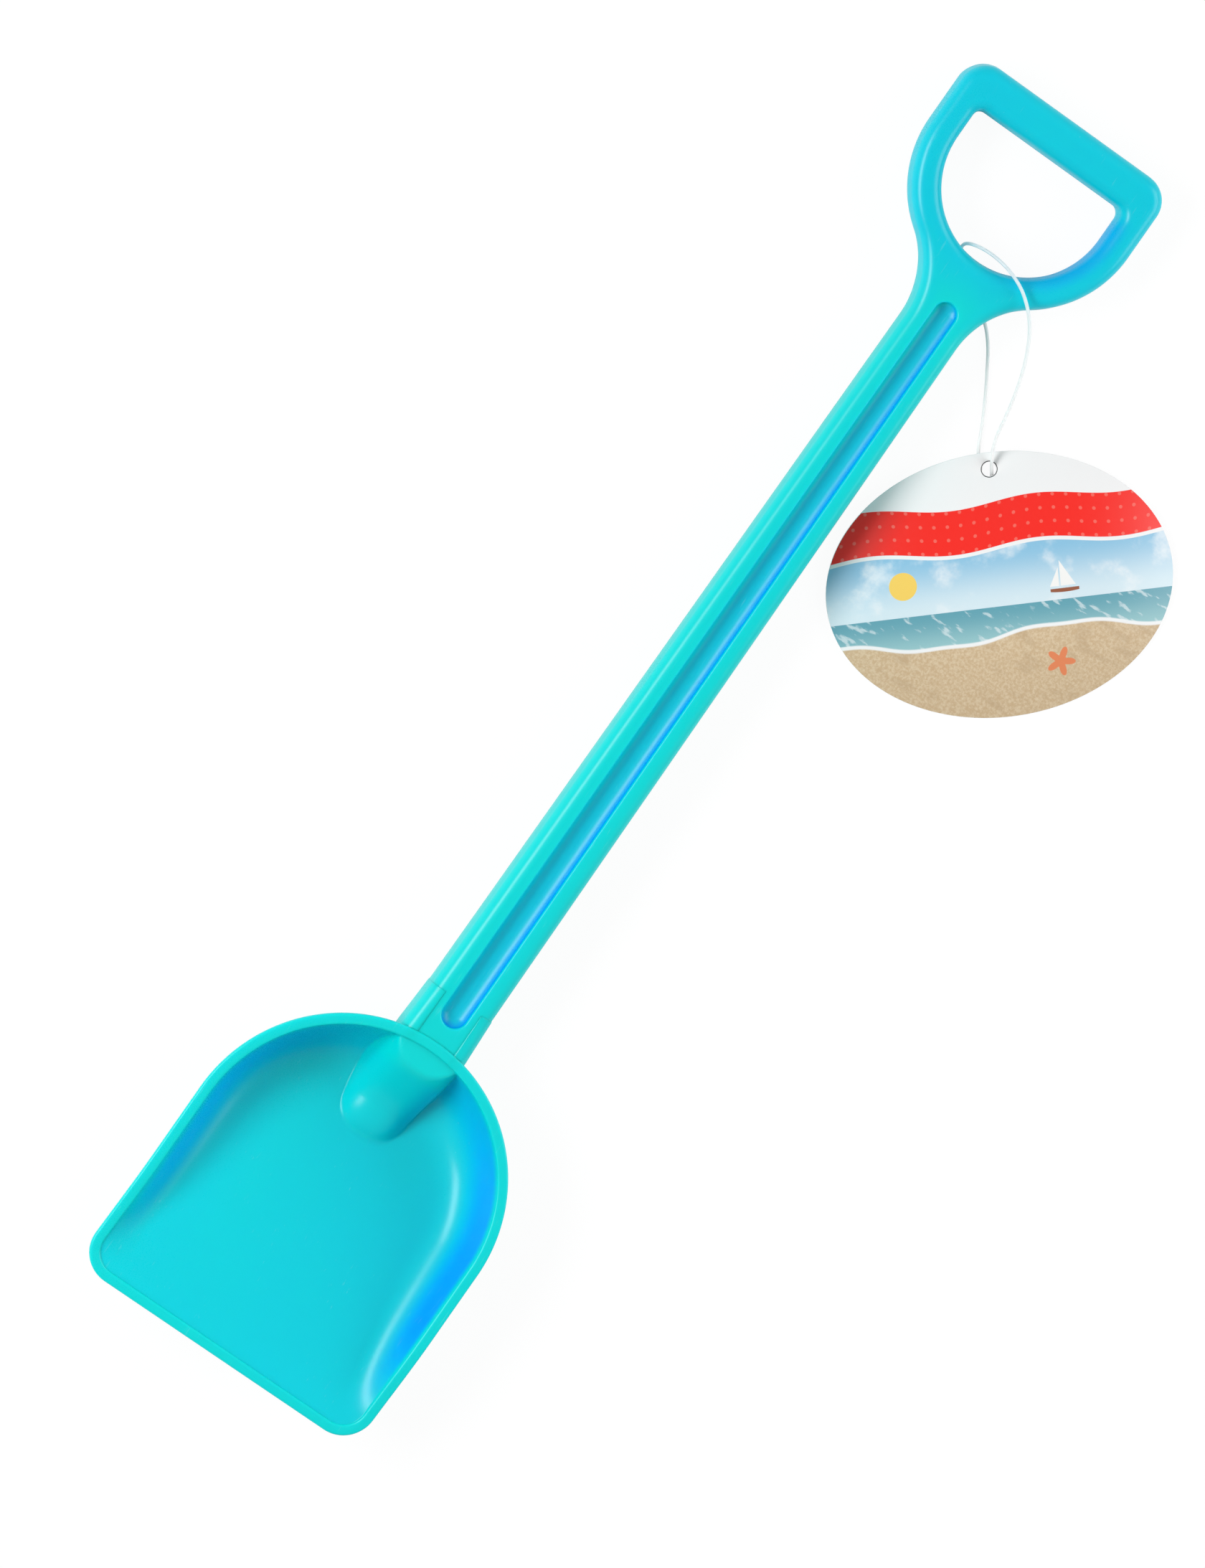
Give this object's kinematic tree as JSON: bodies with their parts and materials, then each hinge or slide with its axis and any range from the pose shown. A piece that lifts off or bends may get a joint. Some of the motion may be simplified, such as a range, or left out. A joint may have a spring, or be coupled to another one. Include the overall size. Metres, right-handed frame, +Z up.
{
  "type": "sand shovel",
  "caption": "Child's plastic sand shovel: a scoop blade with a moulded socket, a ribbed shaft with a D-grip plugged into it, and an oval hang tag on a thin strap.",
  "frame": {"origin": "on the ground, below the middle of the shovel's own length and width, with the shovel lying on its back", "axes": "+Z up, +Y from the blade's lip towards the grip, +X to the right as seen from above; the shovel is symmetric about X = 0"},
  "size_m": [0.1991, 0.5498, 0.0331],
  "materials": {
    "blue_plastic": "satin moulded plastic, one colour",
    "strap_plastic": "thin translucent white cord",
    "card": "printed coated card"
  },
  "bodies": {
    "shovel": {"blade": "blue_plastic", "handle": "blue_plastic"},
    "loop": {"tag_loop": "strap_plastic", "loop_lock": "strap_plastic"},
    "tag": {"swing_tag": "card"}
  },
  "joints": [
    {"name": "tag_swing", "type": "hinge", "parent": "shovel", "child": "loop", "pos_m": [0.0194, 0.2124, 0.0106], "axis": [-0.866, -0.5, 0], "range_deg": [0, 140], "deforming": ["tag_loop"]},
    {"name": "tag_turn", "type": "hinge", "parent": "loop", "child": "tag", "pos_m": [0.0504, 0.1542, 0.0035], "axis": [0.0231, -0.0261, 0.9994], "range_deg": [-4, 70]}
  ]
}
